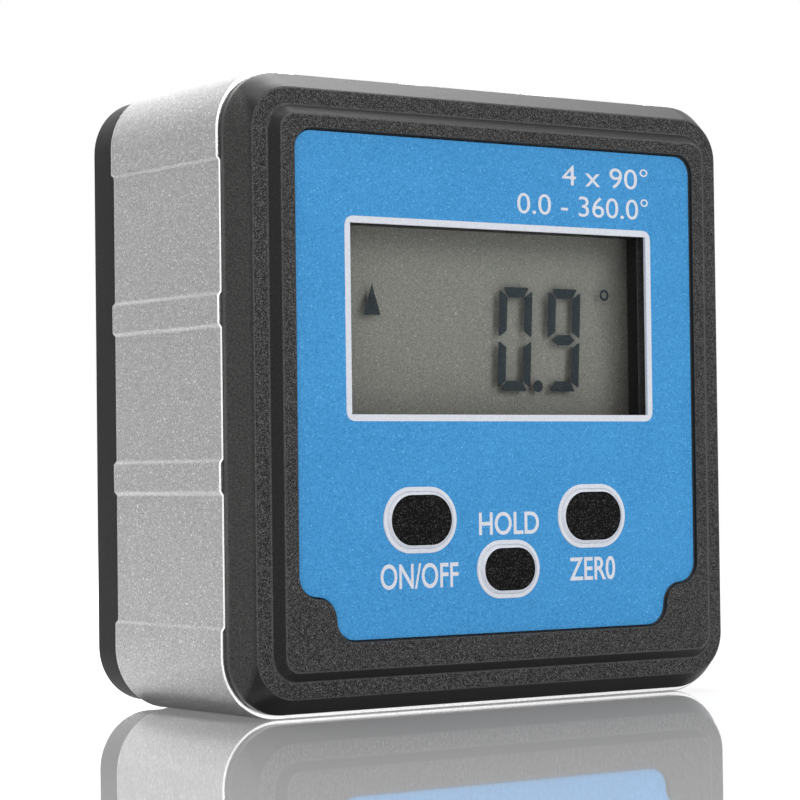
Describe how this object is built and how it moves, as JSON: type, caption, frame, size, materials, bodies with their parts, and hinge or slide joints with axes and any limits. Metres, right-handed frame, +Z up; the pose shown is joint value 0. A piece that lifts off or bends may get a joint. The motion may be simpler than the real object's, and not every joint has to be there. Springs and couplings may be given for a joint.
{
  "type": "digital angle gauge",
  "caption": "Square digital level box with a ribbed metal frame, magnets in its base, a display, three keys on a blue front label and a sliding battery door at the back.",
  "frame": {"origin": "centre of the base, midway between the front and the back", "axes": "+X to the right as the display is read, +Y from the display towards the back, +Z up from the base"},
  "size_m": [0.06, 0.028, 0.06],
  "materials": {
    "frame_aluminium": "satin, bead blasted and clear anodised",
    "magnet_nickel": "nickel plated",
    "textured_black": "fine spark texture",
    "smooth_black": "fine matte texture",
    "clear_window": "clear, polished",
    "blue_film": "matte film with fine sparkle",
    "lcd_glass": "polished",
    "reflector_film": "grey transflective film",
    "inner_black": "moulded",
    "contact_rubber": "soft silicone",
    "key_plastic": "white with a black printed top",
    "plunger_plastic": "moulded",
    "circuit_board": "green solder mask",
    "bright_steel": "zinc plated",
    "capacitor_ceramic": "matte",
    "cell_jacket": "plain printed sleeve",
    "contact_nickel": "nickel plated"
  },
  "bodies": {
    "case": {"frame": "frame_aluminium", "left_magnet": "magnet_nickel", "middle_magnet": "magnet_nickel", "right_magnet": "magnet_nickel", "front_cover": "textured_black", "display_window": "clear_window", "front_label": "blue_film", "lcd_front_glass": "lcd_glass", "lcd_rear_glass": "lcd_glass", "lcd_reflector": "reflector_film", "lcd_holder": "inner_black", "zebra_strip": "contact_rubber", "on_off_switch": "inner_black", "hold_switch": "inner_black", "zero_switch": "inner_black", "main_board": "circuit_board", "controller_chip": "inner_black", "tilt_sensor": "bright_steel", "clock_crystal": "bright_steel", "chip_capacitors": "capacitor_ceramic", "board_screws": "bright_steel", "rear_cover": "smooth_black", "upper_cell": "cell_jacket", "lower_cell": "cell_jacket", "negative_contact": "contact_nickel", "positive_contact": "contact_nickel", "bridge_contact": "contact_nickel", "upper_spring": "contact_nickel", "lower_spring": "contact_nickel", "case_screws": "bright_steel"},
    "on_off_button": {"on_off_key": "key_plastic", "on_off_plunger": "plunger_plastic"},
    "hold_button": {"hold_key": "key_plastic", "hold_plunger": "plunger_plastic"},
    "zero_button": {"zero_key": "key_plastic", "zero_plunger": "plunger_plastic"},
    "door": {"battery_door": "smooth_black"}
  },
  "joints": [
    {"name": "on_off_press", "type": "slide", "parent": "case", "child": "on_off_button", "axis": [0, 1, 0], "range_m": [0, 0.0003], "stiffness_N_per_m": 4000},
    {"name": "hold_press", "type": "slide", "parent": "case", "child": "hold_button", "axis": [0, 1, 0], "range_m": [0, 0.0003], "stiffness_N_per_m": 4000},
    {"name": "zero_press", "type": "slide", "parent": "case", "child": "zero_button", "axis": [0, 1, 0], "range_m": [0, 0.0003], "stiffness_N_per_m": 4000},
    {"name": "door_slide", "type": "slide", "parent": "case", "child": "door", "axis": [1, 0, 0], "range_m": [0, 0.046]}
  ]
}
